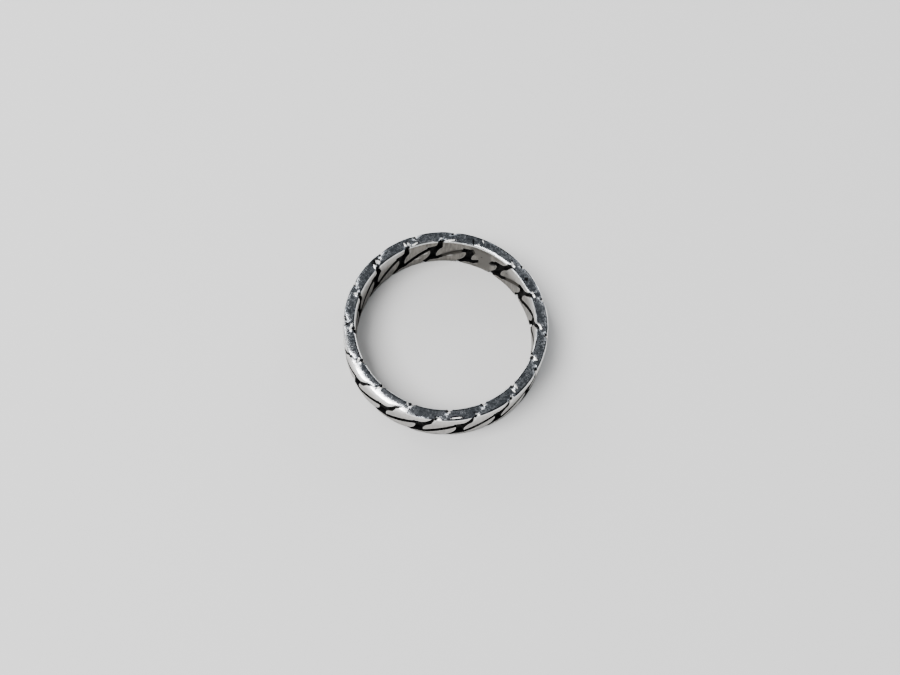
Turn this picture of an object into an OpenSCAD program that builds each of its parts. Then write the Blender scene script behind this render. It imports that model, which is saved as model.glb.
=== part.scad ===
// Curb-chain band ring, cast in one piece.
// The ring lies on its side: the finger's axis is +Z and the lower rim rests on z = 0.
// The bars of the links are what stands between the recesses, which are cut into both faces
// and across both rims. Each link's two bars lean the same way, as in a twisted curb chain.

/* [Ring] */
// Inside diameter, which is the finger's bore
inside_d = 19; // [17:0.1:22]
// Thickness of the wall, from the bore to the outer face
wall_t = 1.35; // [1.25:0.05:1.6]
// Width of the band, from rim to rim
band_w = 4.65; // [4.4:0.05:5]
// Radius that the edges of the rims are rounded to
edge_r = 0.2; // [0.1:0.05:0.3]

/* [Links] */
// Number of links round the band
link_count = 16; // [15:1:17]
// Width of the gap between the two rounded bar ends inside a link
gap_w = 0.66; // [0.5:0.02:0.8]
// Height of that gap, at its wide top and bottom
gap_h = 2.8; // [2.4:0.1:3]
// Radius of a bar's rounded end beside the gap
nose_r = 2; // [1.6:0.1:2.4]
// Width of the seam between two bars that lie side by side
seam_w = 0.3; // [0.2:0.02:0.4]
// Height over which a seam climbs between two gaps
seam_rise = 2.1; // [1.8:0.1:2.3]
// Radius on which the seam curls out of a gap to the rim
curl_r = 1.35; // [1.2:0.05:1.5]

/* [Recesses] */
// Depth of the recesses in the outer face
outer_depth = 0.48; // [0.3:0.02:0.5]
// Depth of the recesses in the bore's wall
inner_depth = 0.38; // [0.25:0.02:0.4]
// Depth of the valley that crosses a rim between two links
valley_depth = 0.26; // [0.15:0.01:0.35]
// Radius of that valley's round bottom
valley_r = 0.42; // [0.35:0.01:0.6]

/* [Plain stretch] */
// Direction of the plain stretch of the bore's wall, where the band was joined, in degrees
plain_at = 90; // [90:1:90]
// Length of each seam stub that runs into the plain stretch
stub_len = 0.55; // [0.4:0.05:0.8]

/* [Hidden] */
bore_r = inside_d / 2;
outer_r = bore_r + wall_t;
pitch = 360 / link_count;
// Gaps stand half a pitch to either side of the plain stretch
gap_from = plain_at + pitch / 2;
// How far a cutter runs clear of the face that it cuts
clear = 0.5;
// Height of the point where the curl leaves the gap, above the middle of the band
curl_z = gap_h / 2 - seam_w / 2;
// Distance along the face from a gap's middle to the place where its curl meets the rim
curl_x = sqrt(curl_r ^ 2 - (curl_z + curl_r - band_w / 2) ^ 2);
// The same place on the outer edge and on the bore's edge, as angles from the gap
outer_turn = curl_x / outer_r * 180 / PI;
bore_turn = pitch - curl_x / bore_r * 180 / PI;
// The smoothness of the long curves and of the small ones
$fn = 96;
SMALL_FN = 32;

// Section of the plain band, with its rim edges rounded
module band_section() {
    edges = [bore_r + edge_r, outer_r - edge_r];
    for (x = edges, z = [edge_r, band_w - edge_r])
        translate([x, z])
            circle(edge_r, $fn = SMALL_FN);
    translate([bore_r, edge_r])
        square([wall_t, band_w - 2 * edge_r]);
    translate([edges[0], 0])
        square([wall_t - 2 * edge_r, band_w]);
}

// Lays a flat outline, drawn along the face and up, on the outer face or the bore's wall
module on_face(outside, turn) {
    depth = outside ? outer_depth : inner_depth;
    start = outside ? outer_r - outer_depth : bore_r - clear;
    rotate([0, 0, turn])
        translate([start, 0, band_w / 2])
            rotate([90, 0, 90])
                linear_extrude(depth + clear)
                    mirror([outside ? 0 : 1, 0])
                        children();
}

// The gap inside a link: a slot that is narrow where the two bar ends stand in it
module waist() {
    half_top = gap_w;
    difference() {
        square([2 * half_top, gap_h], center = true);
        for (side = [-1, 1])
            translate([side * (gap_w / 2 + nose_r), 0])
                circle(nose_r);
    }
}

// One curl from the gap to the rim
module curl() {
    reach = curl_r + seam_w;
    translate([0, curl_z + curl_r])
        intersection() {
            difference() {
                circle(curl_r + seam_w / 2);
                circle(curl_r - seam_w / 2);
            }
            translate([0, -reach])
                square(reach);
        }
}

// The seam between two bars, as long as the way from one gap to the next
module seam(radius) {
    run = 2 * PI * radius / link_count - 1.5 * gap_w;
    rotate(atan2(seam_rise, run))
        square([norm([run, seam_rise]) + seam_w, seam_w], center = true);
}

// The start of a seam that dies out in the plain stretch
module stub() {
    translate([-gap_w / 2, curl_z - seam_w])
        rotate(180 + atan2(seam_rise, seam_rise * 2))
            square([stub_len, seam_w]);
}

module outer_recesses() {
    for (i = [0:link_count - 1]) {
        on_face(true, gap_from + i * pitch) {
            waist();
            curl();
            rotate(180)
                curl();
        }
        on_face(true, gap_from + (i + 0.5) * pitch)
            seam(outer_r);
    }
}

// The first gap past the plain stretch has no curl to the upper rim, and no seam crosses the stretch
module bore_recesses() {
    for (i = [0:link_count - 1]) {
        first = i == 0;
        last = i == link_count - 1;
        on_face(false, gap_from + i * pitch) {
            waist();
            if (!first)
                curl();
            rotate(180)
                curl();
            if (last)
                stub();
            if (first)
                rotate(180)
                    stub();
        }
        if (!last)
            on_face(false, gap_from + (i + 0.5) * pitch)
                seam(bore_r);
    }
}

// A valley across a rim, from a curl on the outer edge to the next link's curl on the bore's edge
module rim_valley() {
    from = outer_r * [cos(outer_turn), sin(outer_turn)];
    to = bore_r * [cos(bore_turn), sin(bore_turn)];
    run = to - from;
    middle = (from + to) / 2;
    translate([middle[0], middle[1], band_w / 2 + valley_r - valley_depth])
        rotate([0, 90, atan2(run[1], run[0])])
            cylinder(h = norm(run) + 2 * clear, r = valley_r, center = true);
}

// The upper rim has no valley over the plain stretch
module rim_valleys() {
    for (i = [0:link_count - 1], low = [0, 1])
        if (low == 1 || i < link_count - 1)
            translate([0, 0, band_w / 2])
                rotate([0, 0, gap_from + i * pitch])
                    rotate([180 * low, 0, 0])
                        rim_valley();
}

module curb_band() {
    color("silver")
        difference() {
            rotate_extrude()
                band_section();
            outer_recesses();
            bore_recesses();
            rim_valleys();
        }
}

curb_band();
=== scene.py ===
"""Looks of a curb-chain band ring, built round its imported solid.

Lengths are in mm until a mesh, a node tree, a lamp or the camera takes them in metres.
"""
import math

import bpy
import numpy as np
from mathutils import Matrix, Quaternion, Vector


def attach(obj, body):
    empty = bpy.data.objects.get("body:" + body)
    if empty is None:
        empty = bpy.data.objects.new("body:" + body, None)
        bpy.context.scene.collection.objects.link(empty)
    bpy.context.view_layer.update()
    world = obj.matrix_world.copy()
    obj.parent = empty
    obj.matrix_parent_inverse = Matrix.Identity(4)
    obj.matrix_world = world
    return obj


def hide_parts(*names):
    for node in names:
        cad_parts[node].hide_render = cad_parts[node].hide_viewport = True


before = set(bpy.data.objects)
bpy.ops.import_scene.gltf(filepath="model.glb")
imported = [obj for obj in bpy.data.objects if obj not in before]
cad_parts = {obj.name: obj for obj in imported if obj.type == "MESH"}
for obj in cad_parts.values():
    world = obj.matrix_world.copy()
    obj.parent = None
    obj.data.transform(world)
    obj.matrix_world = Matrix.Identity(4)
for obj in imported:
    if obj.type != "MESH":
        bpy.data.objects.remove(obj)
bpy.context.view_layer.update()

# The band: sixteen twisted links of a flat curb chain, cast in silver as one closed ring.
# Its outer face and its bore are filed flat, so each link shows as two leaning bars with a gap
# between their rounded ends and black recesses along them. The rims keep their casting skin.

MM = 0.001
BORE_R = 9.5
OUTER_R = 10.85
BAND_W = 4.65
LINKS = 16
PITCH = 360 / LINKS
MIDDLE_R = (BORE_R + OUTER_R) / 2
HALF_WALL = (OUTER_R - BORE_R) / 2
HALF_W = BAND_W / 2
EDGE_R = 0.11

# How far the upper rim falls towards its edges, and the heights over which that dies out below it
RIM_DROP = 0.06
DROP_HEIGHTS = 1.1, 2.2

# Way round the band's section: 0 is the middle of the outer face, a quarter is the upper rim
FACE_RUN = HALF_W - EDGE_R
ARC_RUN = math.pi / 2 * EDGE_R
QUARTER = FACE_RUN + ARC_RUN + HALF_WALL - EDGE_R
HALF_WAY = 2 * QUARTER
FULL_WAY = 4 * QUARTER


def smooth_step(low, high, value):
    """0 below low and 1 above high, with a smooth step between them."""
    share = np.clip((value - low) / (high - low), 0, 1)
    return share * share * (3 - 2 * share)


def section_at(way):
    """Where the band's section is at each way round it: out from its middle, and up."""
    signed = (way + HALF_WAY) % FULL_WAY - HALF_WAY
    inner = np.abs(signed) > QUARTER
    q = np.where(inner, HALF_WAY - np.abs(signed), np.abs(signed))
    turn = np.clip((q - FACE_RUN) / EDGE_R, 0, math.pi / 2)
    over = np.clip(q - FACE_RUN - ARC_RUN, 0, None)
    out = HALF_WALL - EDGE_R * (1 - np.cos(turn)) - over
    up = np.minimum(q, FACE_RUN) + EDGE_R * np.sin(turn)
    drop = np.where(signed > 0, RIM_DROP, 0)
    up = up - drop * (out / HALF_WALL) ** 4 * smooth_step(*DROP_HEIGHTS, up)
    return np.where(inner, -out, out), np.sign(signed) * up


# One recess line winds round the section as it goes round the ring: a leaning seam on the outer
# face, a curl over the upper rim, a seam down the bore's wall, and a curl over the lower rim.
# The first quarter of its way, by the angle from the middle of an outer seam; the rest mirrors it.
LINE_ANGLES = np.array([0, 4, 8, 9.8, 11.25, 12.6, 14.6, 16.4, 17.8, 18.9, 20.3, PITCH])
LINE_WAYS = np.array([0, 0.52, 1.0, 1.14, 1.2, 1.23, 1.34, 1.58, 1.92, 2.25, 2.55, QUARTER])

# Four links take the line once round the section. It is kept at steps of these degrees, and its
# corners are smoothed over these.
ONE_ROUND = 4 * PITCH
STEP = 0.05
SMOOTHING = 0.55
turn_angles = np.concatenate([
    -LINE_ANGLES[::-1], LINE_ANGLES[1:], 2 * PITCH - LINE_ANGLES[-2::-1], 2 * PITCH + LINE_ANGLES[1:]])
turn_ways = np.concatenate([
    -LINE_WAYS[::-1], LINE_WAYS[1:], HALF_WAY - LINE_WAYS[-2::-1], HALF_WAY + LINE_WAYS[1:]])
long_angles = np.arange(-180, 180, STEP)
turns = np.floor((long_angles + PITCH) / ONE_ROUND)
long_ways = np.interp(long_angles - ONE_ROUND * turns, turn_angles, turn_ways) + turns * FULL_WAY
reach = np.arange(-4 * SMOOTHING, 4 * SMOOTHING + STEP / 2, STEP)
weights = np.exp(-0.5 * (reach / SMOOTHING) ** 2)
long_ways = np.convolve(long_ways, weights / weights.sum(), "same")


def line_way(angle):
    """Way round the section of the recess line at an angle from the middle of an outer seam."""
    return np.interp(angle, long_angles, long_ways)


# Half the gap's width at its waist, and how far it reaches up and down from the band's middle
GAP_HALF = 0.34
GAP_TOP = 1.4

# Columns of one link's mesh, closer together beside the two sides of its gap
beside_gap = np.array([
    0, 0.12, 0.22, 0.27, 0.31, 0.345, 0.38, 0.42, 0.48, 0.56, 0.66, 0.78, 0.9, 1.03, 1.16, 1.29,
    1.42, 1.55, 1.69, 1.83, 1.98, math.radians(PITCH / 2) * OUTER_R])
columns = np.degrees(np.concatenate([-beside_gap[:0:-1], beside_gap]) / OUTER_R) + PITCH / 2

# Rows from one recess line to the next, closer together beside the lines and on the rims' edges.
# The spacing holds within each reach, and widens beyond it.
ROWS = 35
FINE_COLUMNS = 226
FINE_ROWS = 401
LINE_CORE = 0.06
CORE_SPACING = 0.06
LINE_SPACING = 0.036
LINE_REACH = 0.36
EDGE_SPACING = 0.052
EDGE_REACH = 0.14
SILL_SPACING = 0.045
SILL_REACH = 0.08
WIDENING = 0.35
WIDEST = 0.17
fine = np.linspace(0, PITCH, FINE_COLUMNS)
row_ways = np.zeros((4, ROWS + 1, len(fine)))
for strip in range(4):
    low = line_way(fine - PITCH * (4 - strip))
    high = line_way(fine - PITCH * (3 - strip))
    way = low + (high - low) * np.linspace(0, 1, FINE_ROWS)[:, None]
    arc = math.radians(fine[1]) * OUTER_R
    off = np.minimum(
        (way - low) / np.hypot(1, np.gradient(low, arc)),
        (high - way) / np.hypot(1, np.gradient(high, arc)))
    rise = np.abs((way + QUARTER) % HALF_WAY - QUARTER)
    edge = np.abs(rise - FACE_RUN - ARC_RUN / 2)
    sill = np.abs(rise - GAP_TOP)
    spacing = np.where(off < LINE_CORE, CORE_SPACING, LINE_SPACING)
    spacing = spacing + WIDENING * np.clip(off - LINE_REACH, 0, None)
    spacing = np.minimum(spacing, EDGE_SPACING + WIDENING * np.clip(edge - EDGE_REACH, 0, None))
    spacing = np.minimum(spacing, SILL_SPACING + WIDENING * np.clip(sill - SILL_REACH, 0, None))
    passed = np.cumsum(1 / np.minimum(spacing, WIDEST), axis=0)
    passed = (passed - passed[0]) / (passed[-1] - passed[0])
    for k in range(len(fine)):
        row_ways[strip, :, k] = np.interp(np.linspace(0, 1, ROWS + 1), passed[:, k], way[:, k])
row_ways = row_ways[:, :-1].reshape(4 * ROWS, -1)


# How far under and over the band's middle the gap's right and left sides are narrowest, and the
# diameter that the bars' ends are rounded to
WAIST_OFF = 0.35
NOSE_D = 4.4


def gap_side(height, towards):
    """Half the gap's width at a height, to the right where towards is 1 and to the left at -1."""
    return GAP_HALF + (height + WAIST_OFF * towards) ** 2 / NOSE_D


# The columns bend to follow the rounded bar ends on both sides of the gap. This is how far up, and
# how far along, they do, and how often their places are worked out again.
BENT_UP = 1.3
STRAIGHT_UP = 2.1
STRAIGHT_ALONG = 1.75
BENDINGS = 16
angle = np.tile(columns, (4 * ROWS, 1))
for again in range(BENDINGS):
    way = np.array([np.interp(angle[row], fine, row_ways[row]) for row in range(4 * ROWS)])
    out, up = section_at(way)
    face = np.where(out > 0, 1, -1)
    radius = MIDDLE_R + out
    along = np.radians(columns - PITCH / 2) * radius * face
    grow = gap_side(np.clip(up, -BENT_UP, BENT_UP), np.sign(along)) - GAP_HALF
    grow = grow * (1 - smooth_step(BENT_UP, STRAIGHT_UP, np.abs(up)))
    share = np.minimum(np.abs(along) / GAP_HALF, 1)
    share = share * (1 - smooth_step(GAP_HALF, STRAIGHT_ALONG, np.abs(along)))
    along = along + np.sign(along) * grow * share
    angle = (angle + PITCH / 2 + np.degrees(along * face / radius)) / 2
way = np.array([np.interp(angle[row], fine, row_ways[row]) for row in range(4 * ROWS)])
out, up = section_at(way)
radius = MIDDLE_R + out
along = np.radians(angle - PITCH / 2) * radius * np.where(out > 0, 1, -1)
turned = np.radians(angle)
place = np.stack([radius * np.cos(turned), radius * np.sin(turned), up], -1)

# Distance of each point from the nearest recess line, whose legs are this many degrees long and
# start this many before the link. FAR is beyond any distance here.
LEG = 0.12
BEFORE_LINK = 12
FAR = 9.0
points = place.reshape(-1, 1, 3)
to_line = np.full(len(points), FAR)
line_angles = np.arange(-BEFORE_LINK, PITCH + BEFORE_LINK, LEG)
for strip in range(4):
    line_out, line_up = section_at(line_way(line_angles - PITCH * strip))
    line_turned = np.radians(line_angles)
    line = np.stack([(MIDDLE_R + line_out) * np.cos(line_turned),
                     (MIDDLE_R + line_out) * np.sin(line_turned), line_up], -1)
    leg = line[1:] - line[:-1]
    gone = ((points - line[:-1]) * leg).sum(2) / (leg**2).sum(1)
    foot = line[:-1] + np.clip(gone, 0, 1)[..., None] * leg
    to_line = np.minimum(to_line, np.linalg.norm(points - foot, axis=2).min(1))
to_line = to_line.reshape(way.shape)

# The recesses are sharp on both faces and at the rims' edges, with a soft valley across each rim.
# At these ways round the section: half a line's width, and how deep the recesses are.
INSIDE_EDGE = 0.3
STATIONS = [0, FACE_RUN - INSIDE_EDGE, FACE_RUN + ARC_RUN / 2, QUARTER,
            HALF_WAY - FACE_RUN - ARC_RUN / 2, HALF_WAY - FACE_RUN + INSIDE_EDGE, HALF_WAY]
LINE_HALVES = [0.35, 0.24, 0.13, 0.07, 0.19, 0.22, 0.25]
DEPTHS = [0.45, 0.42, 0.34, 0.3, 0.34, 0.36, 0.38]

# How round the corner between a line and a gap is, how soft the recesses' edges are, how much nearer
# a gap's leaning side is than it is along the face, and what each side stands in by in the bore
ROUNDING = 0.16
EDGE_SOFT = 0.045
GAP_SLANT = 0.9
BORE_NARROWER = 0.09

# The heights where a rim starts and is whole, and how far from the wall's middle the cuts end
RIM_STARTS = HALF_W - 0.45
RIM_WHOLE = HALF_W - 0.2
CUT_ENDS = 0.3
CUT_WHOLE = 0.46

# The valleys at the bore's side, what they gain towards the outer edge, and a bead beside each
VALLEY = 0.045
OUTER_VALLEY = 0.07
VALLEY_HALF = 0.34
OUTER_WIDER = 0.1
LESS_IN_CUT = 0.5
BEAD = 0.12
BEAD_HALF = 0.19
BEAD_R = 9.93
BEAD_ANGLE = 3.4
folded = np.abs((way + HALF_WAY) % FULL_WAY - HALF_WAY)
on_rim = smooth_step(RIM_STARTS, RIM_WHOLE, np.abs(up))
across_rim = 1 - on_rim * (1 - smooth_step(CUT_ENDS, CUT_WHOLE, np.abs(out)))
line_edge = to_line - np.interp(folded, STATIONS, LINE_HALVES)
gap_edge = np.abs(along) - gap_side(up, np.sign(along)) + np.where(out < 0, BORE_NARROWER, 0)
gap_edge = np.maximum(GAP_SLANT * gap_edge, np.abs(up) - GAP_TOP)
joined = np.clip(1 - np.abs(line_edge - gap_edge) / ROUNDING, 0, None)
recess_edge = np.minimum(line_edge, gap_edge) - joined**2 * ROUNDING / 4
cut = smooth_step(-EDGE_SOFT, EDGE_SOFT, -recess_edge) * across_rim
outward = np.clip(out / HALF_WALL, 0, 1) ** 2
valley = VALLEY + OUTER_VALLEY * outward
valley *= np.exp(-((to_line / (VALLEY_HALF + OUTER_WIDER * outward)) ** 2)) * on_rim
dent = np.interp(folded, STATIONS, DEPTHS) * cut + valley * (1 - LESS_IN_CUT * cut)
bead = np.zeros_like(up)
for bead_angle, bead_up in ((BEAD_ANGLE, HALF_W), (PITCH - BEAD_ANGLE, -HALF_W)):
    spot = BEAD_R * np.cos(np.radians(bead_angle)), BEAD_R * np.sin(np.radians(bead_angle)), bead_up
    bead += np.exp(-((np.linalg.norm(place - spot, axis=-1) / BEAD_HALF) ** 2))
dent -= BEAD * bead * (1 - cut)

# A recess is cut towards the section's middle, so that it narrows evenly where it crosses an edge
LEAN_FROM = 1.55
quarter_way = np.minimum(folded, HALF_WAY - folded)
lean = np.clip((quarter_way - LEAN_FROM) / (QUARTER - LEAN_FROM), 0, 1) * math.pi / 2
lean = np.sign(up) * np.where(folded > QUARTER, math.pi - lean, lean)

# One link's mesh, with what the tree and the finish need to know of each of its points
EDGE_KEPT = -0.2, 0.4
index = np.arange(way.size).reshape(way.shape)
above = np.roll(index, -1, axis=0)
quads = np.stack([index[:, :-1], index[:, 1:], above[:, 1:], above[:, :-1]], -1).reshape(-1, 4)
link_mesh = bpy.data.meshes.new("link")
link_mesh.from_pydata((place.reshape(-1, 3) * MM).tolist(), [], quads.tolist())
for name, value in (
    ("dent_out", dent * np.cos(lean) * MM),
    ("dent_up", dent * np.sin(lean) * MM),
    ("edge", np.clip(recess_edge, *EDGE_KEPT)),
    ("black", across_rim),
    ("rim", on_rim),
    ("bead", bead),
    ("way", folded),
):
    stored = link_mesh.attributes.new(name, "FLOAT", "POINT")
    stored.data.foreach_set("value", value.astype(np.float32).ravel())
band = bpy.data.objects.new("band", link_mesh)
bpy.context.scene.collection.objects.link(band)


class Signal:
    """One socket of a node tree: sums on it add Math nodes, and add() puts in any other node."""

    def __init__(self, tree, socket=None):
        self.tree = tree
        self.socket = socket

    def add(self, kind, settings=None, values=None, output=0):
        node = self.tree.nodes.new(kind)
        for name, setting in (settings or {}).items():
            setattr(node, name, setting)
        for name, value in (values or {}).items():
            if isinstance(value, Signal):
                self.tree.links.new(value.socket, node.inputs[name])
            else:
                node.inputs[name].default_value = value
        return Signal(self.tree, node.outputs[output] if node.outputs else None)

    def maths(self, operation, first, second=0.0):
        return self.add("ShaderNodeMath", {"operation": operation}, {0: first, 1: second})

    def __add__(self, other):
        return self.maths("ADD", self, other)

    def __sub__(self, other):
        return self.maths("SUBTRACT", self, other)

    def __rsub__(self, other):
        return self.maths("SUBTRACT", other, self)

    def __mul__(self, other):
        return self.maths("MULTIPLY", self, other)

    def __truediv__(self, other):
        return self.maths("DIVIDE", self, other)

    __radd__ = __add__
    __rmul__ = __mul__

    def __abs__(self):
        return self.maths("ABSOLUTE", self)

    def least(self, other):
        return self.maths("MINIMUM", self, other)

    def most(self, other):
        return self.maths("MAXIMUM", self, other)

    def rise(self, low, high):
        """0 below low and 1 above high, with a smooth step between them."""
        return self.add(
            "ShaderNodeMapRange", {"interpolation_type": "SMOOTHSTEP"},
            {"Value": self, "From Min": low, "From Max": high})


# The tree sets sixteen links round the axis, joins them, and sinks the recesses. None is sunk in
# the plain stretch of the bore's wall, where the band was joined, nor on the upper rim above it.
links_tree = bpy.data.node_groups.new("curb_links", "GeometryNodeTree")
links_tree.interface.new_socket("Geometry", in_out="INPUT", socket_type="NodeSocketGeometry")
INPUTS = (
    ("Links", "NodeSocketInt", LINKS),
    ("First link", "NodeSocketFloat", math.pi / 2),
    ("Plain half", "NodeSocketFloat", 0.75 * MM),
    ("Uneven depth", "NodeSocketFloat", 0.25),
    ("Skin depth", "NodeSocketFloat", 0.022 * MM),
    ("Seed", "NodeSocketFloat", 3.0),
    ("Finish", "NodeSocketMaterial", None),
)
identifiers = {}
for name, kind, value in INPUTS:
    identifiers[name] = links_tree.interface.new_socket(
        name, in_out="INPUT", socket_type=kind).identifier
links_tree.interface.new_socket("Geometry", in_out="OUTPUT", socket_type="NodeSocketGeometry")
made = Signal(links_tree)
group_in = links_tree.nodes.new("NodeGroupInput")
given = {s.name: Signal(links_tree, s) for s in group_in.outputs if s.name}


def read(name):
    """A value that is stored on the mesh's points."""
    return made.add("GeometryNodeInputNamedAttribute", {"data_type": "FLOAT"}, {"Name": name})


# Each pair is where a place starts and where it holds in full. ALONG and HALF count along the bore's
# wall from the middle of the plain stretch, UP from the band's middle, and MID_WALL from the axis.
MID_WALL = BORE_R + 0.5, BORE_R + 0.8
PLAIN_SOFT = 0.05 * MM
PLAIN_UP = -1.75 * MM, -1.65 * MM
NO_CURL_ALONG = -1.25 * MM, -1.15 * MM
NO_CURL_UP = 0.45 * MM, 0.55 * MM
STUB_ALONG = -1.62 * MM, -1.5 * MM
STUB_UP = 0.6 * MM, 0.8 * MM
PAST_MIDDLE = 0, 0.1 * MM
PLAIN_RIM_HALF = 0.95 * MM, 1.1 * MM
PLAIN_RIM_UP = 1.85 * MM, 1.95 * MM
SEAM_ALONG = 2.55 * MM, 2.75 * MM
PAST_SEAM = 4.7 * MM, 4.9 * MM
SEAM_UP = 0.85 * MM, 1.05 * MM
spots = made.add("GeometryNodeMeshLine", {}, {"Count": given["Links"], "Offset": (0, 0, 0)})
nth = made.add("GeometryNodeInputIndex")
spin = made.add(
    "ShaderNodeCombineXYZ", {},
    {"Z": given["First link"] + nth * (2 * math.pi) / given["Links"]})
ring = made.add(
    "GeometryNodeInstanceOnPoints", {},
    {"Points": spots, "Instance": given["Geometry"], "Rotation": spin})
ring = made.add("GeometryNodeRealizeInstances", {}, {"Geometry": ring})
ring = made.add("GeometryNodeMergeByDistance", {}, {"Geometry": ring, "Distance": 0.002 * MM})

spot = made.add("GeometryNodeInputPosition")
parts = made.add("ShaderNodeSeparateXYZ", {}, {"Vector": spot})
x = Signal(links_tree, parts.socket.node.outputs["X"])
y = Signal(links_tree, parts.socket.node.outputs["Y"])
z = Signal(links_tree, parts.socket.node.outputs["Z"])
sideways = made.maths("ARCTAN2", x, y) * (BORE_R * MM)
axial = made.add("ShaderNodeCombineXYZ", {}, {"X": x, "Y": y})
radial = made.add("ShaderNodeVectorMath", {"operation": "NORMALIZE"}, {0: axial})
from_axis = made.add("ShaderNodeVectorMath", {"operation": "LENGTH"}, {0: axial}, "Value")
in_bore = 1 - from_axis.rise(MID_WALL[0] * MM, MID_WALL[1] * MM)
middle = 1 - abs(sideways).rise(given["Plain half"] - PLAIN_SOFT, given["Plain half"] + PLAIN_SOFT)
no_curl = sideways.rise(*NO_CURL_ALONG) * (1 - sideways.rise(*PAST_MIDDLE)) * z.rise(*NO_CURL_UP)
plain_wall = middle.most(no_curl) * z.rise(*PLAIN_UP) * in_bore
plain_rim = (1 - abs(sideways).rise(*PLAIN_RIM_HALF)) * z.rise(*PLAIN_RIM_UP)
kept = 1 - plain_wall.most(plain_rim)

# The seams beside the plain stretch, and the end of the curl next to it, are worn shallow
SHALLOW_BY = 0.5
beside_join = abs(sideways).rise(*SEAM_ALONG) * (1 - abs(sideways).rise(*PAST_SEAM))
beside_join = beside_join * (1 - abs(z).rise(*SEAM_UP)) * in_bore
curl_stub = sideways.rise(*STUB_ALONG) * (1 - sideways.rise(*PAST_MIDDLE)) * z.rise(*STUB_UP)
shallow = beside_join.most(curl_stub * in_bore)
uneven = made.add(
    "ShaderNodeTexNoise", {"noise_dimensions": "4D"},
    {"Vector": spot, "W": given["Seed"], "Scale": 900.0, "Detail": 1.0})
amount = kept * (1 + (uneven - 0.5) * 2 * given["Uneven depth"]) * (1 - SHALLOW_BY * shallow)
sunk_out = made.add(
    "ShaderNodeVectorMath", {"operation": "SCALE"},
    {0: radial, "Scale": 0 - read("dent_out") * amount})
sunk_up = made.add("ShaderNodeCombineXYZ", {}, {"Z": 0 - read("dent_up") * amount})

# The casting skin of the rims is pitted: it sinks where this noise is below its top
SKIN_SEED = 7
SKIN_TOP = 0.75
skin_noise = made.add(
    "ShaderNodeTexNoise", {"noise_dimensions": "4D"},
    {"Vector": spot, "W": given["Seed"] + SKIN_SEED, "Scale": 1300.0, "Detail": 2.0, "Roughness": 0.55})
normal = made.add("GeometryNodeInputNormal")
skin = made.add(
    "ShaderNodeVectorMath", {"operation": "SCALE"},
    {0: normal,
     "Scale": (skin_noise.least(SKIN_TOP) - SKIN_TOP) * given["Skin depth"] * read("rim") * 2})
shift = made.add("ShaderNodeVectorMath", {"operation": "ADD"}, {0: sunk_out, 1: sunk_up})
shift = made.add("ShaderNodeVectorMath", {"operation": "ADD"}, {0: shift, 1: skin})
ring = made.add(
    "GeometryNodeStoreNamedAttribute", {"data_type": "FLOAT", "domain": "POINT"},
    {"Geometry": ring, "Name": "black", "Value": read("black") * kept})
for name, value in (("shallow", shallow), ("bore", in_bore), ("plain", plain_wall)):
    ring = made.add(
        "GeometryNodeStoreNamedAttribute", {"data_type": "FLOAT", "domain": "POINT"},
        {"Geometry": ring, "Name": name, "Value": value})
ring = made.add("GeometryNodeSetPosition", {}, {"Geometry": ring, "Offset": shift})
ring = made.add("GeometryNodeTransform", {}, {"Geometry": ring, "Translation": (0, 0, HALF_W * MM)})
ring = made.add("GeometryNodeSetShadeSmooth", {}, {"Geometry": ring})
ring = made.add(
    "GeometryNodeSetMaterial", {}, {"Geometry": ring, "Material": given["Finish"]})
made.add("NodeGroupOutput", {}, {"Geometry": ring})

# The finish: filed silver on the faces, painted darker in the bore as painted shade, darker and
# glossier tarnished skin on the rims, and black oxide left in the recesses.
silver = bpy.data.materials.new("silver")
silver.use_nodes = True
shader_tree = silver.node_tree
shader_tree.nodes.clear()
paint = Signal(shader_tree)
where = paint.add("ShaderNodeTexCoord", {}, {}, "Object")


def stored_on_band(name):
    """A value that is stored on the mesh's points, as the finish reads it."""
    return paint.add("ShaderNodeAttribute", {"attribute_name": name}, {}, "Fac")


black = stored_on_band("black")
edge = stored_on_band("edge")
plain = stored_on_band("plain")
shallow = stored_on_band("shallow")
bore = stored_on_band("bore")

# The rims reach this far to both sides of their middle, measured round the section
RIM_EDGE = QUARTER - FACE_RUN - ARC_RUN / 2
RIM_SOFT = 0.06
across = abs(stored_on_band("way") - QUARTER)
rim = 1 - across.rise(RIM_EDGE - RIM_SOFT, RIM_EDGE + RIM_SOFT)
mottle = paint.add(
    "ShaderNodeTexNoise", {},
    {"Vector": where, "Scale": 2900.0, "Detail": 2.0, "Roughness": 0.55, "Distortion": 1.4})
cloud = paint.add(
    "ShaderNodeTexNoise", {}, {"Vector": where, "Scale": 700.0, "Detail": 2.0, "Roughness": 0.5})


def mixed(share, first, second):
    """Two colours mixed, with share of the second."""
    return paint.add(
        "ShaderNodeMix", {"data_type": "RGBA"},
        {"Factor": share, 6: first, 7: second}, 2)


FILED = (0.37, 0.355, 0.335, 1)
FILED_DULL = (0.26, 0.248, 0.233, 1)
FILED_SHEEN_AND_WEAR = (0.85, 0.84, 0.82, 1)
BORE_SHADED_SILVER = (0.19, 0.177, 0.158, 1)
BORE_DULL_SHADED = (0.09, 0.084, 0.074, 1)
SKIN = (0.50, 0.515, 0.54, 1)
SKIN_DARK = (0.15, 0.163, 0.18, 1)
PAINTED_SHADE_BLACK = (0.02, 0.022, 0.025, 1)
OXIDE = (0.004, 0.004, 0.0042, 1)
OXIDE_WORN = (0.06, 0.056, 0.05, 1)

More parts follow.
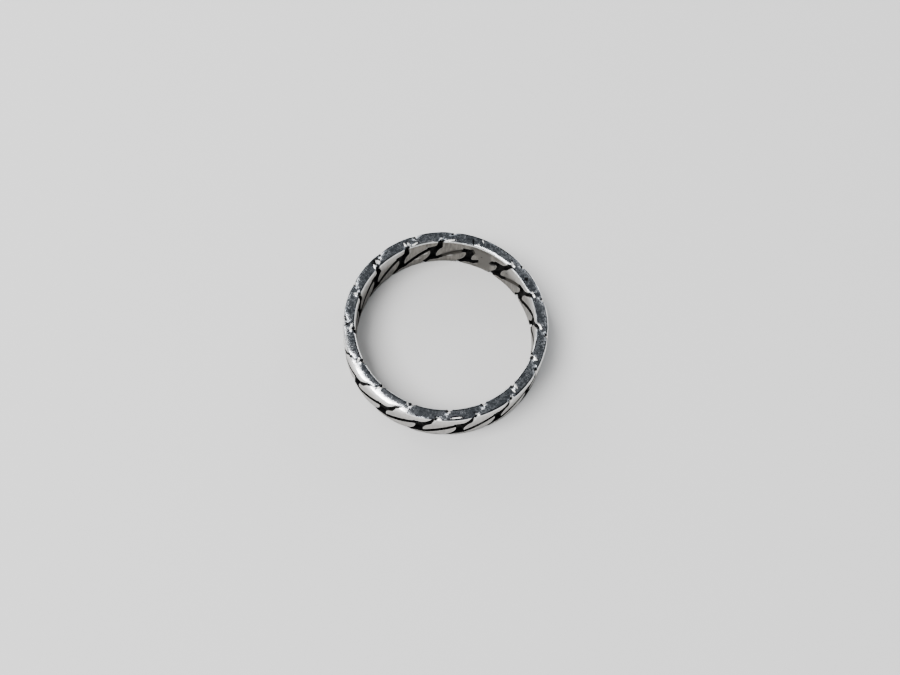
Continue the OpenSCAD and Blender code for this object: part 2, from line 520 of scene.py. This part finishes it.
# The strokes of the file run up and down the faces, and the silver is duller in patches
STROKE_STRETCH = (1, 1, 0.12)
CLOUD_SHARE = 0.45
DULL_PATCHES = 0.36, 0.66
drawn_out = paint.add(
    "ShaderNodeVectorMath", {"operation": "MULTIPLY"}, {0: where, 1: STROKE_STRETCH})
strokes = paint.add("ShaderNodeTexNoise", {}, {"Vector": drawn_out, "Scale": 4500.0, "Detail": 1.0})
patchy = (cloud * CLOUD_SHARE + strokes * (1 - CLOUD_SHARE)).rise(*DULL_PATCHES)
# In the bore the same filed silver is painted darker as painted shade inside the ring, duller in
# patches and on the plain stretch
bore_shaded_silver = mixed(plain, mixed(patchy, BORE_SHADED_SILVER, BORE_DULL_SHADED), BORE_DULL_SHADED)
filed = mixed(bore, mixed(patchy, FILED, FILED_DULL), bore_shaded_silver)

# The faces carry a painted highlight towards the upper rim, but not in the bore round the plain
# stretch. Their foot, which mirrors the pale table, is darkened with painted shade.
FAR_WALL_AT = math.radians(108)
NO_SHEEN_FROM = 6.6 * MM, 8.6 * MM
SHEEN_UP = 2.6 * MM, 4.3 * MM
SHEEN_BY = 0.4
FOOT_UP = 0.1 * MM, 0.85 * MM
FOOT_SHADE_BY = 0.8
high = paint.add("ShaderNodeSeparateXYZ", {}, {"Vector": where}, "Z")
far_wall_way = (math.cos(FAR_WALL_AT), math.sin(FAR_WALL_AT), 0)
towards_far_wall = paint.add(
    "ShaderNodeVectorMath", {"operation": "DOT_PRODUCT"}, {0: where, 1: far_wall_way}, "Value")
sheen_allowed = 1 - bore * towards_far_wall.rise(*NO_SHEEN_FROM)
# Painted highlight, lighter towards the upper rim
filed = mixed(high.rise(*SHEEN_UP) * sheen_allowed * SHEEN_BY, filed, FILED_SHEEN_AND_WEAR)
# Painted shade at the foot of the faces
filed = mixed((1 - high.rise(*FOOT_UP)) * FOOT_SHADE_BY, filed, BORE_DULL_SHADED)

# The faces are worn bright beside the recesses, as wear and a painted highlight along their edges,
# less so in the bore. The rims are mottled.
WORN_LIT_BESIDE = 0.11, 0.18
WORN_LIT_BY = 0.8
BORE_LESS_BY = 0.75
MOTTLE_SHARE = 0.75
LIGHT_PATCHES = 0.4, 0.66
worn_and_lit = black * (1 - edge.rise(*WORN_LIT_BESIDE)) * (1 - BORE_LESS_BY * bore) * patchy * WORN_LIT_BY
filed = mixed(worn_and_lit, filed, FILED_SHEEN_AND_WEAR)
skin_light = (mottle * MOTTLE_SHARE + cloud * (1 - MOTTLE_SHARE)).rise(*LIGHT_PATCHES)
colour = mixed(rim, filed, mixed(skin_light, SKIN_DARK, SKIN))

# The oxide fills the recesses. It narrows up the faces towards the upper rim, and reaches further
# over the rims at the bore's near edge. Shallow recesses are worn grey, with a stain round them.
OXIDE_ENDS = 0.06, 0.095
FACE_STARTS = RIM_EDGE, RIM_EDGE + 0.14
NARROWER_UP = 3.1 * MM, 4.4 * MM
NARROWER_BY = 0.1
PAST_NEAR_SIDE = -3 * MM, 1 * MM
WIDER_BY = 0.1
STAIN_ENDS = 0.18, 0.34
STAIN_BY = 0.85
on_face = across.rise(*FACE_STARTS)
taper = high.rise(*NARROWER_UP) * on_face
bite = (1 - on_face) * bore * (1 - towards_far_wall.rise(*PAST_NEAR_SIDE))
blackness = black * (1 - (edge + taper * NARROWER_BY - bite * WIDER_BY).rise(*OXIDE_ENDS))
stain = black * shallow * (1 - edge.rise(*STAIN_ENDS)) * STAIN_BY
colour = mixed(stain, colour, OXIDE_WORN)
colour = mixed(blackness, colour, mixed(shallow, OXIDE, OXIDE_WORN))

# Marks, each an angle in the photo, a distance from the axis or a height above the table, a turn
# from along the band, half its length and half its width. On the upper rim the dark ones are pits,
# cracks and thin lines, and the bright ones painted highlights on lips and beads. In the bore the
# dark ones are black oxide, and the bright ones chips beside the seams.
DARK_ON_RIM = (
    (36.4, 10.10, 0, 0.23, 0.2), (142.4, 10.26, 0, 0.54, 0.5), (77.6, 9.95, 75, 0.5, 0.11),
    (281.4, 10.65, 0, 0.62, 0.08), (281.2, 10.36, 0, 0.66, 0.08), (44.3, 10.60, 70, 0.28, 0.12),
    (335.8, 10.62, 125, 0.38, 0.11), (357.5, 10.55, 130, 0.4, 0.12), (231.2, 10.1, 90, 0.40, 0.09),
    (211.6, 10.1, 95, 0.40, 0.09), (253.8, 10.45, 90, 0.38, 0.08), (113.4, 10.55, 120, 0.34, 0.1),
    (20.6, 10.70, 150, 0.3, 0.1), (186.5, 10.3, 60, 0.5, 0.11), (160.3, 10.66, 10, 0.36, 0.1),
)
BRIGHT_ON_RIM = (
    (141.3, 10.15, 90, 0.27, 0.22), (72.3, 10.45, 50, 0.2, 0.08), (281.2, 10.51, 0, 0.60, 0.08),
    (118.8, 9.93, 80, 0.32, 0.12), (121.2, 10.12, 85, 0.30, 0.10), (115.2, 9.80, -12, 0.42, 0.09),
    (25.2, 9.93, 0, 0.42, 0.11), (48.9, 10.0, 25, 0.36, 0.15), (4.0, 9.92, -30, 0.42, 0.14),
    (166.4, 9.98, 70, 0.26, 0.11), (188.5, 9.95, 25, 0.38, 0.11), (210.4, 9.96, 50, 0.26, 0.12),
    (231.6, 9.98, 95, 0.22, 0.11), (251.8, 9.80, 60, 0.22, 0.1), (276.6, 9.86, 20, 0.26, 0.08),
    (321.2, 9.95, 100, 0.34, 0.11), (342.6, 9.95, 105, 0.42, 0.17), (145.3, 9.95, 120, 0.34, 0.07),
    (92.5, 9.74, -8, 0.6, 0.12), (251.5, 10.62, 40, 0.28, 0.17), (271.2, 10.62, 30, 0.34, 0.17),
    (293.2, 10.60, 50, 0.34, 0.17), (315.3, 10.62, 60, 0.3, 0.14), (318.4, 10.2, 90, 0.3, 0.09),
)
DARK_IN_BORE = (
    (77.0, 1.08, -15, 0.5, 0.44), (62.1, 2.55, 50, 0.55, 0.3), (54.9, 1.2, 20, 0.24, 0.22),
    (70.3, 2.85, 0, 0.12, 0.1), (50.2, 2.8, 0, 0.14, 0.11),
)
BRIGHT_IN_BORE = (
    (93.0, 1.5, 19, 0.6, 0.08), (116.0, 1.57, 0, 0.13, 0.1), (108.3, 2.21, 32, 0.3, 0.08),
    (113.2, 1.48, 0, 0.4, 0.05),
)
MARK_DEEP = 0.3

# How far the photo's own right is turned from +X
RING_TURN = math.radians(20.55)


def marks(table, in_bore):
    """How far the nearest mark of a table is: 0 at its middle and 1 at its outline."""
    nearest = FAR
    for angle, place_at, turn, half_long, half_wide in table:
        bearing = math.radians(angle) + RING_TURN
        away, height = (BORE_R, place_at) if in_bore else (place_at, BAND_W)
        spot = (away * MM * math.cos(bearing), away * MM * math.sin(bearing), height * MM)
        along_band = bearing + math.pi / 2
        if in_bore:
            rotation = (0, math.radians(turn), along_band)
            size = (half_long * MM, MARK_DEEP * MM, half_wide * MM)
        else:
            rotation = (0, 0, along_band - math.radians(turn))
            size = (half_long * MM, half_wide * MM, MARK_DEEP * MM)
        off = paint.add(
            "ShaderNodeMapping", {"vector_type": "TEXTURE"},
            {"Vector": where, "Location": spot, "Rotation": rotation, "Scale": size})
        away_by = paint.add("ShaderNodeVectorMath", {"operation": "LENGTH"}, {0: off}, "Value")
        nearest = away_by.least(nearest)
    return nearest


# The bright marks on the rim are painted highlights with torn outlines, ringed by a painted dark
# border of shade. Each pair is where a kind of mark starts to fade and is gone.
RAGGED_BY = 0.6
TORN_BY = 1.4
BRIGHT_FADES = 0.6, 1.25
BORDER_FADES = 1.3, 1.8
BORDER_BY = 0.7
DARK_FADES = 0.75, 1.15
BORE_DARK_FADES = 0.85, 1.1
DARK_BY = 0.92
CHIPS_FADE = 0.5, 1.2
CHIPS_BY = 0.75
grit = paint.add("ShaderNodeTexNoise", {}, {"Vector": where, "Scale": 8500.0, "Detail": 1.0})
to_bright = marks(BRIGHT_ON_RIM, False) + (mottle - 0.5) * RAGGED_BY + (grit - 0.5) * TORN_BY
bright = 1 - to_bright.rise(*BRIGHT_FADES)
# Painted shade as a dark border round the painted highlights
border = (1 - to_bright.rise(*BORDER_FADES)) * rim * BORDER_BY
colour = mixed(border, colour, PAINTED_SHADE_BLACK)
dark = 1 - marks(DARK_ON_RIM, False).rise(*DARK_FADES)
bore_dark = 1 - marks(DARK_IN_BORE, True).rise(*BORE_DARK_FADES)
chips = 1 - marks(BRIGHT_IN_BORE, True).rise(*CHIPS_FADE)
colour = mixed(dark.most(bore_dark) * DARK_BY, colour, OXIDE)

# The upper rim's sharp edges carry a painted highlight, and a thin line of painted shade runs inside
# the rims' edges here and there. The tops of the beads carry a painted highlight too.
ARRIS_AT = RIM_EDGE + 0.01
ARRIS_FADES = 0.04, 0.09
ARRIS_UP = 2.8 * MM, 3.4 * MM
SHADE_LINE_AT = RIM_EDGE - 0.14
SHADE_LINE_FADES = 0.04, 0.11
SHADE_LINE_PATCHES = 0.32, 0.5
SHADE_LINE_BY = 0.85
LIP_LEAST = 0.65
LIP_MOTTLE = 0.7
BEAD_TOP = 0.65, 0.8
arris_glint = (1 - abs(across - ARRIS_AT).rise(*ARRIS_FADES)) * high.rise(*ARRIS_UP)
shade_line = (1 - abs(across - SHADE_LINE_AT).rise(*SHADE_LINE_FADES)) * cloud.rise(*SHADE_LINE_PATCHES)
colour = mixed(shade_line * SHADE_LINE_BY, colour, PAINTED_SHADE_BLACK)
lip_glints = (arris_glint * (LIP_LEAST + LIP_MOTTLE * mottle)).least(1.0)
polish_highlight = stored_on_band("polish_highlight") * (1 - dark)
bead_glints = stored_on_band("bead").rise(*BEAD_TOP)
glints = bright.most(lip_glints).most(bead_glints).most(chips * CHIPS_BY)
glints_and_polish = glints.most(polish_highlight) * (1 - blackness)
# Painted highlights, bright chips and polish lighten the colour here
colour = mixed(glints_and_polish, colour, FILED_SHEEN_AND_WEAR)

# Roughness of the filed faces, what the glossier rims take off it, and what the painted glints, the
# polished edges and the oxide add. The rims' skin is uneven by this height.
FILED_ROUGH = 0.36
RIM_SMOOTHER = 0.18
GLINTS_ROUGHER = 0.26
POLISH_ROUGHER = 0.1
OXIDE_ROUGHER = 0.4
SKIN_BUMP = 0.022 * MM
roughness = FILED_ROUGH - RIM_SMOOTHER * rim + GLINTS_ROUGHER * glints * rim
roughness = roughness + POLISH_ROUGHER * polish_highlight + OXIDE_ROUGHER * blackness
height = mottle * SKIN_BUMP * rim * (1 - polish_highlight)
bump = paint.add(
    "ShaderNodeBump", {}, {"Strength": 1.0, "Distance": 1.0, "Height": height})
surface = paint.add(
    "ShaderNodeBsdfPrincipled", {},
    {"Base Color": colour, "Metallic": 1.0, "Roughness": roughness, "Normal": bump})
paint.add("ShaderNodeOutputMaterial", {}, {"Surface": surface})

builder = band.modifiers.new("links", "NODES")
builder.node_group = links_tree
for name, kind, value in INPUTS:
    builder[identifiers[name]] = silver if name == "Finish" else value
bpy.context.view_layer.update()
joined_mesh = bpy.data.meshes.new_from_object(
    band.evaluated_get(bpy.context.evaluated_depsgraph_get()))
band.modifiers.clear()
band.data = joined_mesh
bpy.data.meshes.remove(link_mesh)

# By hand the links didn't come out even: each notch stands a few degrees off its place. In order
# round the ring from the first gap past the plain stretch, in degrees.
PLAIN_AT = 90
OUTER_FACE_OFF = [0.3, 0.5, 1, 2, 2, 2, 1, 0.4, 0.2, 0.2, 0.2, 0, 0, 0, 0, 0]
OUTER_EDGE_OFF = [0.9, 1.2, 2, 4.3, 3, 4.1, 1.5, 0, -0.3, -0.5, -0.6, -0.3, -0.8, -0.9, -0.2, 0.3]
INNER_EDGE_OFF = [3.3, 3.4, 4.9, 4.4, 6, 5.5, 3.4, 2.5, 2.8, 1.6, 1.1, 1.3, -1.1, -1.9, -0.6, 1.3]
INNER_FACE_OFF = [0, -0.5, -0.7, 0, 1, 2, 2, 1, 1, 0.5, 0.5, 0, -0.5, -1.5, -1.5, -1.6]
OUTER_NOTCH = 7.9
INNER_NOTCH = 14.3

# How much lower the pattern stands than the band's middle, and where that dies out up and down
OUTER_LOWER = 0.36
BORE_LOWER = 0.2
LOWER_FADES = 1.1, 2.25
spots = np.zeros(len(joined_mesh.vertices) * 3)
joined_mesh.vertices.foreach_get("co", spots)
spots = spots.reshape(-1, 3) / MM
outside = smooth_step(*MID_WALL, np.hypot(spots[:, 0], spots[:, 1]))
lowered = BORE_LOWER + (OUTER_LOWER - BORE_LOWER) * outside
spots[:, 2] -= lowered * (1 - smooth_step(*LOWER_FADES, np.abs(spots[:, 2] - HALF_W)))
ways_round = np.zeros(len(spots), np.float32)
joined_mesh.attributes["way"].data.foreach_get("value", ways_round)
bearing = np.degrees(np.arctan2(spots[:, 1], spots[:, 0])) % 360


def offset_at(offsets, past_gap):
    """Degrees by which the links are off, where offsets hold past_gap degrees beyond each gap."""
    known = PLAIN_AT + PITCH / 2 + PITCH * np.arange(LINKS) + past_gap
    return np.interp(bearing, known % 360, offsets, period=360)


# Within this way of a face's middle, only the offsets of that face count
STRAIGHT = 1.2
outer_edge_way = FACE_RUN + ARC_RUN / 2
inner_edge_way = HALF_WAY - outer_edge_way
turn_by = offset_at(OUTER_FACE_OFF, 0)
for offsets, past_gap, first, last in (
    (OUTER_EDGE_OFF, OUTER_NOTCH, STRAIGHT, outer_edge_way),
    (INNER_EDGE_OFF, INNER_NOTCH, outer_edge_way, inner_edge_way),
    (INNER_FACE_OFF, PITCH, inner_edge_way, HALF_WAY - STRAIGHT),
):
    share = np.clip((ways_round - first) / (last - first), 0, 1)
    turn_by += (offset_at(offsets, past_gap) - turn_by) * share

# In the bore the recesses run down to the lower rim more steeply than they run up, by these degrees
STEEPER = 4.8
turn_by -= STEEPER * (spots[:, 2] < HALF_W) * np.interp(
    ways_round, [outer_edge_way, inner_edge_way, HALF_WAY - STRAIGHT], [0, 1, 0])

# Some stretches of the upper rim's edges are worn rounder, and polished with a painted highlight on
# them. Each row gives the edge, 1 where it is worn inwards and -1 where outwards, the degrees from
# and to, how far, and how wide.
WORN_STRETCHES = (
    (outer_edge_way, 1, 226, 273, 0.15, 0.44),
    (outer_edge_way, 1, 199, 229, 0.06, 0.55),
    (inner_edge_way, -1, 70, 98, 0.09, 0.22),
    (inner_edge_way, -1, 120, 138, 0.08, 0.26),
)
MOST_WORN = 0.15
STRETCH_SOFT = 3
SLANT = 0.7
POLISH_HIGHLIGHT_STARTS = 0.3, 0.75
UPPER_HALF = HALF_W, HALF_W + 0.5
BORE_WALL = inner_edge_way, inner_edge_way + 0.1
upper = smooth_step(*UPPER_HALF, spots[:, 2])
above_bore = 1 - smooth_step(*BORE_WALL, ways_round)
polished_and_lit = np.zeros(len(spots))
radial = np.stack([np.cos(np.radians(bearing)), np.sin(np.radians(bearing))], 1)
for edge_way, inwards, first, last, drop, spread in WORN_STRETCHES:
    reach = np.exp(-(((ways_round - edge_way) / spread) ** 2)) * upper
    started = smooth_step(first - STRETCH_SOFT, first + STRETCH_SOFT, bearing)
    ended = smooth_step(last - STRETCH_SOFT, last + STRETCH_SOFT, bearing)
    reach *= started * (1 - ended)
    shine = smooth_step(*POLISH_HIGHLIGHT_STARTS, reach) * above_bore * (drop / MOST_WORN) ** 2
    polished_and_lit = np.maximum(polished_and_lit, shine)
    reach *= drop
    spots[:, :2] -= radial * (reach * inwards * SLANT)[:, None]
    spots[:, 2] -= reach * SLANT

# Each point is turned to its uneven place, and none is left below the table
bearing_now = np.radians(bearing + turn_by)
away = np.hypot(spots[:, 0], spots[:, 1])
spots[:, 0] = away * np.cos(bearing_now)
spots[:, 1] = away * np.sin(bearing_now)
spots[:, 2] = np.maximum(spots[:, 2], 0)
# The polish is kept for the finish as worn polish with a painted highlight
stored = joined_mesh.attributes.new("polish_highlight", "FLOAT", "POINT")
stored.data.foreach_set("value", polished_and_lit.astype(np.float32))
joined_mesh.vertices.foreach_set("co", (spots * MM).ravel())
joined_mesh.update()
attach(band, "root")
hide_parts("curb_band")

# The table: a pale matt board, far wider than the view, with its size in metres. It isn't part of
# the ring, and is one flat face under the lower rim.
FLOOR_HALF = 1.5
BOARD_COLOUR = (0.51, 0.505, 0.50, 1)
BOARD_ROUGH = 0.9
floor_mesh = bpy.data.meshes.new("table_top")
floor_mesh.from_pydata(
    [(-FLOOR_HALF, -FLOOR_HALF, 0), (FLOOR_HALF, -FLOOR_HALF, 0),
     (FLOOR_HALF, FLOOR_HALF, 0), (-FLOOR_HALF, FLOOR_HALF, 0)], [], [(0, 1, 2, 3)])
table_top = bpy.data.objects.new("table_top", floor_mesh)
bpy.context.scene.collection.objects.link(table_top)
pale = bpy.data.materials.new("pale_board")
pale.use_nodes = True
board = pale.node_tree.nodes["Principled BSDF"]
board.inputs["Base Color"].default_value = BOARD_COLOUR
board.inputs["Roughness"].default_value = BOARD_ROUGH
floor_mesh.materials.append(pale)

# Studio light: seven square soft boxes round the ring, the strongest at the left, and a dim room
# that is lighter towards its horizon. A box is given its azimuth and elevation in degrees, its
# distance and size in metres, and its watts.


def soft_box(name, azimuth, elevation, distance, size, watts):
    """A square area light that faces the ring, its azimuth counted from the photo's own right."""
    lamp = bpy.data.lights.new(name, "AREA")
    lamp.shape = "SQUARE"
    lamp.size = size
    lamp.energy = watts
    holder = bpy.data.objects.new(name, lamp)
    bpy.context.scene.collection.objects.link(holder)
    turn = math.radians(azimuth) + RING_TURN
    lift = math.radians(elevation)
    away = Vector((math.cos(turn) * math.cos(lift), math.sin(turn) * math.cos(lift), math.sin(lift)))
    holder.location = away * distance
    holder.rotation_mode = "QUATERNION"
    holder.rotation_quaternion = away.to_track_quat("Z", "Y")


soft_box("left_box", 208, 60, 0.6, 0.36, 9.0)
soft_box("side_box", 146, 50, 0.6, 0.2, 1.0)
soft_box("right_box", 52, 47, 0.7, 0.26, 0.3)
soft_box("low_box", 8, 36, 0.7, 0.25, 0.5)
soft_box("lowest_box", 45, 20, 0.7, 0.25, 1.8)
soft_box("back_box", 122, 26, 0.7, 0.25, 1.1)
soft_box("corner_box", 139, 20, 0.7, 0.25, 1.5)
ROOM_COLOUR = (0.9, 0.95, 1.0, 1)
ROOM_LEAST = 0.22
HORIZON_MORE = 1.4
HORIZON_FADES = 0.3, 0.72
room = bpy.data.worlds.new("room")
room.use_nodes = True
backdrop = room.node_tree.nodes["Background"]
backdrop.inputs["Color"].default_value = ROOM_COLOUR
sky = Signal(room.node_tree)
view_up = sky.add(
    "ShaderNodeSeparateXYZ", {}, {"Vector": sky.add("ShaderNodeTexCoord", {}, {}, "Generated")}, "Z")
glow = ROOM_LEAST + HORIZON_MORE * (1 - view_up.rise(*HORIZON_FADES))
room.node_tree.links.new(glow.socket, backdrop.inputs["Strength"])
bpy.context.scene.world = room

# The camera looks steeply down at the ring from the photo's front, from close by. Its lens and
# shift are those of a picture 900 pixels wide.
CAMERA_LIFT = math.radians(67.51)
CAMERA_AWAY = 114.27 * MM
CAMERA_ROLL = math.radians(5.63)
IMAGE_W = 900
FOCAL_PX = 1067
SHIFT_RIGHT_PX = 5
SHIFT_UP_PX = -6.22
lens = bpy.data.cameras.new("camera")
lens.sensor_width = 36
lens.lens = FOCAL_PX / IMAGE_W * lens.sensor_width
lens.shift_x = SHIFT_RIGHT_PX / IMAGE_W
lens.shift_y = SHIFT_UP_PX / IMAGE_W
lens.clip_start = 0.005
lens.clip_end = 20
camera = bpy.data.objects.new("camera", lens)
bpy.context.scene.collection.objects.link(camera)
front = RING_TURN - math.pi / 2
back = Vector((math.cos(front) * math.cos(CAMERA_LIFT), math.sin(front) * math.cos(CAMERA_LIFT),
               math.sin(CAMERA_LIFT)))
camera.location = Vector((0, 0, HALF_W * MM)) + back * CAMERA_AWAY
camera.rotation_mode = "QUATERNION"
camera.rotation_quaternion = (-back).to_track_quat("-Z", "Y") @ Quaternion((0, 0, 1), CAMERA_ROLL)
bpy.context.scene.camera = camera
